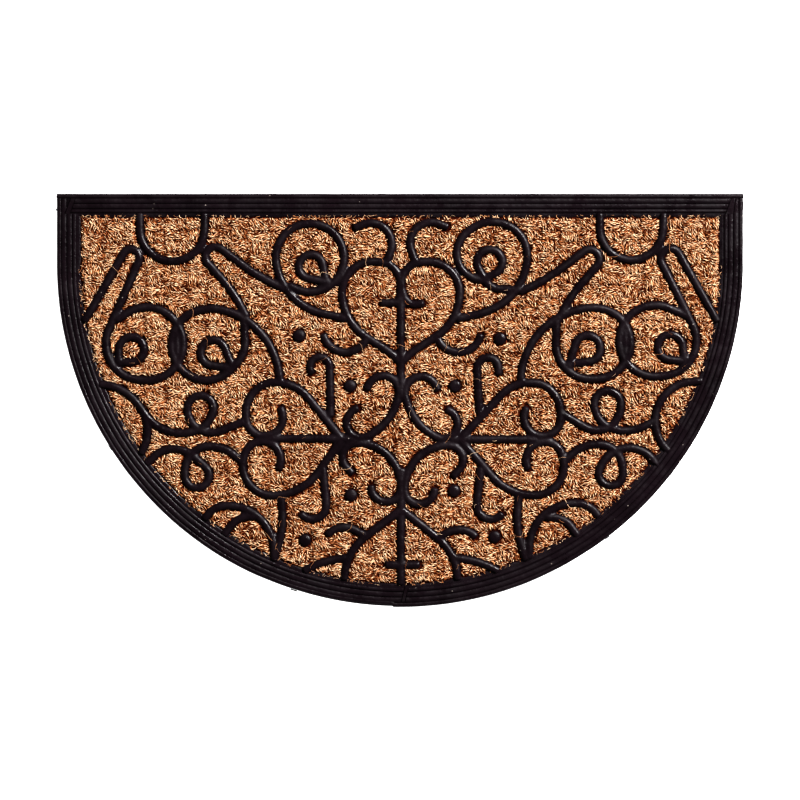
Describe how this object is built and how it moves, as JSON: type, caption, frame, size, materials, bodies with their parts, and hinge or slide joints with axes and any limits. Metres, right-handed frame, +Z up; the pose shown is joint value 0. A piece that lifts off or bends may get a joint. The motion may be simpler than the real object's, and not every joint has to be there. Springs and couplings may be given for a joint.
{
  "type": "half-round doormat",
  "caption": "Half-round moulded rubber doormat with a ribbed border, raised scrollwork rods and studs over a coir inlay.",
  "frame": {"origin": "middle of the mat's footprint, on the floor", "axes": "+X along the straight edge, +Y towards the straight edge, +Z up out of the tread face"},
  "size_m": [0.762, 0.459, 0.0106],
  "materials": {
    "rubber": "satin black moulded rubber",
    "coir": "matt natural coir fibre"
  },
  "bodies": {
    "root": {"rubber_moulding": "rubber", "coir_panel": "coir"}
  },
  "joints": []
}
